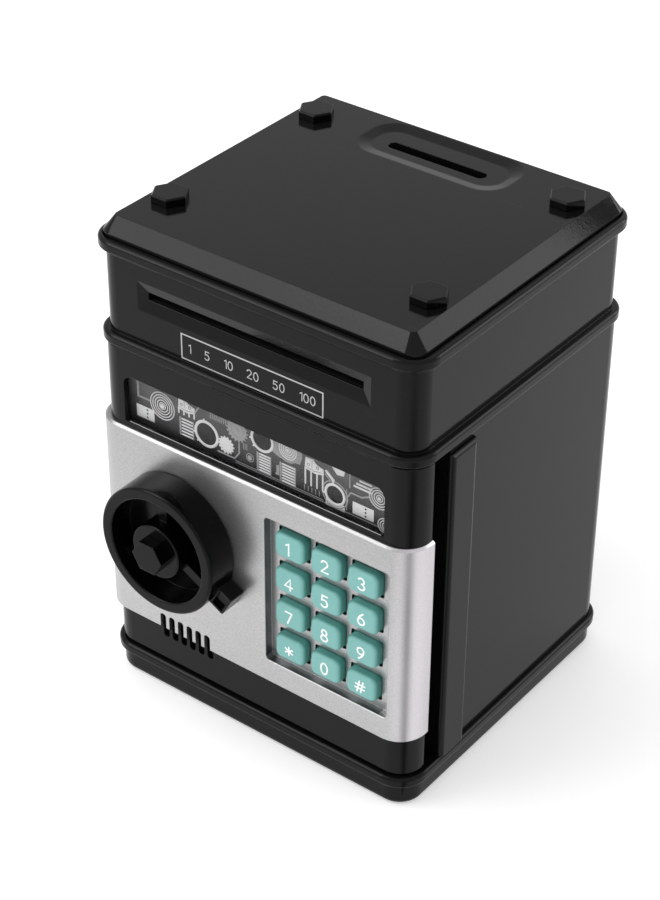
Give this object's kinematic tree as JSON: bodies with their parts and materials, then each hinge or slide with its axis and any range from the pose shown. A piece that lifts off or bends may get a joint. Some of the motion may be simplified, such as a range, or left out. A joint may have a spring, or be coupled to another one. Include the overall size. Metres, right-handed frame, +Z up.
{
  "type": "toy atm savings bank",
  "caption": "Toy cash-machine savings bank: powered note feeder, coin slot, keypad and a knob-locked hinged door over a money compartment.",
  "frame": {"origin": "middle of the case's footprint, on the base's underside", "axes": "+Z up, -Y out of the door, +X towards the hinge side (the right as seen from the front)"},
  "size_m": [0.1347, 0.1415, 0.1876],
  "materials": {
    "case_black": "moulded, satin gloss",
    "trim_black": "moulded, satin",
    "inner_black": "moulded, matt",
    "panel_silver": "silver lacquer, satin",
    "key_teal": "moulded, soft gloss",
    "lens_clear": "clear acrylic",
    "print_grey": "printed sheet",
    "steel": "bright zinc",
    "rubber_black": "moulded",
    "silicone_grey": "soft moulded",
    "nylon_white": "moulded nylon",
    "board_green": "lacquered board",
    "coil_copper": "enamelled wire",
    "speaker_dark": "pressed steel",
    "cell_wrap": "printed sleeve"
  },
  "bodies": {
    "case": {"base_plate": "case_black", "body_shell": "case_black", "hinge_strip": "case_black", "head_shell": "case_black", "top_cover": "case_black", "cover_bolts": "trim_black", "hinge_pins": "steel", "latch_keeper": "steel", "base_screws": "steel", "deck_screws": "steel", "battery_hatch": "case_black", "hatch_screw": "steel", "battery_cells": "cell_wrap", "battery_contacts": "steel", "mechanism_deck": "inner_black", "left_bracket": "inner_black", "right_bracket": "inner_black", "lower_note_guide": "inner_black", "upper_note_guide": "inner_black", "idler_axle": "steel", "feed_motor": "steel", "coin_chute": "inner_black", "note_sensor": "inner_black", "control_board": "board_green"},
    "door": {"door_shell": "case_black", "door_panel": "panel_silver", "window_lens": "lens_clear", "window_plate": "print_grey", "door_lid": "inner_black", "lid_screws": "steel", "speaker": "speaker_dark", "key_mat": "silicone_grey", "keypad_board": "board_green", "solenoid_coil": "coil_copper"},
    "knob": {"knob": "trim_black", "knob_nut": "trim_black", "knob_shaft": "steel", "lock_pinion": "nylon_white"},
    "latch": {"latch_bolt": "nylon_white"},
    "plunger": {"solenoid_plunger": "steel"},
    "drive_roller": {"drive_axle": "steel", "drive_tyres": "rubber_black", "roller_wheel": "nylon_white"},
    "pinch_roller": {"pinch_axle": "steel", "pinch_tyres": "rubber_black"},
    "idler": {"idler_gear": "nylon_white"},
    "motor": {"motor_pinion": "nylon_white", "motor_axle": "steel"},
    "key_star": {"key_star": "key_teal"},
    "key_0": {"key_0": "key_teal"},
    "key_hash": {"key_hash": "key_teal"},
    "key_7": {"key_7": "key_teal"},
    "key_8": {"key_8": "key_teal"},
    "key_9": {"key_9": "key_teal"},
    "key_4": {"key_4": "key_teal"},
    "key_5": {"key_5": "key_teal"},
    "key_6": {"key_6": "key_teal"},
    "key_1": {"key_1": "key_teal"},
    "key_2": {"key_2": "key_teal"},
    "key_3": {"key_3": "key_teal"}
  },
  "joints": [
    {"name": "door_hinge", "type": "hinge", "parent": "case", "child": "door", "pos_m": [0.06, -0.0506, 0.076], "axis": [0, 0, 1], "range_deg": [0, 100]},
    {"name": "knob_turn", "type": "hinge", "parent": "door", "child": "knob", "pos_m": [-0.0303, -0.062, 0.0739], "axis": [0, 1, 0], "range_deg": [0, 70]},
    {"name": "latch_slide", "type": "slide", "parent": "door", "child": "latch", "axis": [-1, 0, 0], "range_m": [0, 0.0074]},
    {"name": "plunger_slide", "type": "slide", "parent": "door", "child": "plunger", "axis": [0, 0, -1], "range_m": [0, 0.003]},
    {"name": "drive_spin", "type": "hinge", "parent": "case", "child": "drive_roller", "pos_m": [0, -0.044, 0.15515], "axis": [1, 0, 0], "continuous": true},
    {"name": "pinch_spin", "type": "hinge", "parent": "case", "child": "pinch_roller", "pos_m": [0, -0.044, 0.16725], "axis": [1, 0, 0], "continuous": true},
    {"name": "idler_spin", "type": "hinge", "parent": "case", "child": "idler", "pos_m": [0.051, -0.02807, 0.16084], "axis": [1, 0, 0], "continuous": true},
    {"name": "motor_spin", "type": "hinge", "parent": "case", "child": "motor", "pos_m": [0.05, -0.016, 0.15], "axis": [1, 0, 0], "continuous": true},
    {"name": "key_star_press", "type": "slide", "parent": "door", "child": "key_star", "axis": [0, 1, 0], "range_m": [0, 0.0012], "stiffness_N_per_m": 300},
    {"name": "key_0_press", "type": "slide", "parent": "door", "child": "key_0", "axis": [0, 1, 0], "range_m": [0, 0.0012], "stiffness_N_per_m": 300},
    {"name": "key_hash_press", "type": "slide", "parent": "door", "child": "key_hash", "axis": [0, 1, 0], "range_m": [0, 0.0012], "stiffness_N_per_m": 300},
    {"name": "key_7_press", "type": "slide", "parent": "door", "child": "key_7", "axis": [0, 1, 0], "range_m": [0, 0.0012], "stiffness_N_per_m": 300},
    {"name": "key_8_press", "type": "slide", "parent": "door", "child": "key_8", "axis": [0, 1, 0], "range_m": [0, 0.0012], "stiffness_N_per_m": 300},
    {"name": "key_9_press", "type": "slide", "parent": "door", "child": "key_9", "axis": [0, 1, 0], "range_m": [0, 0.0012], "stiffness_N_per_m": 300},
    {"name": "key_4_press", "type": "slide", "parent": "door", "child": "key_4", "axis": [0, 1, 0], "range_m": [0, 0.0012], "stiffness_N_per_m": 300},
    {"name": "key_5_press", "type": "slide", "parent": "door", "child": "key_5", "axis": [0, 1, 0], "range_m": [0, 0.0012], "stiffness_N_per_m": 300},
    {"name": "key_6_press", "type": "slide", "parent": "door", "child": "key_6", "axis": [0, 1, 0], "range_m": [0, 0.0012], "stiffness_N_per_m": 300},
    {"name": "key_1_press", "type": "slide", "parent": "door", "child": "key_1", "axis": [0, 1, 0], "range_m": [0, 0.0012], "stiffness_N_per_m": 300},
    {"name": "key_2_press", "type": "slide", "parent": "door", "child": "key_2", "axis": [0, 1, 0], "range_m": [0, 0.0012], "stiffness_N_per_m": 300},
    {"name": "key_3_press", "type": "slide", "parent": "door", "child": "key_3", "axis": [0, 1, 0], "range_m": [0, 0.0012], "stiffness_N_per_m": 300}
  ],
  "couplings": [
    {"joint": "latch_slide", "follows": "knob_turn", "m_per_rad": 0.006},
    {"joint": "pinch_spin", "follows": "drive_spin", "ratio": -1},
    {"joint": "idler_spin", "follows": "drive_spin", "ratio": -3},
    {"joint": "motor_spin", "follows": "drive_spin", "ratio": 10.8}
  ]
}
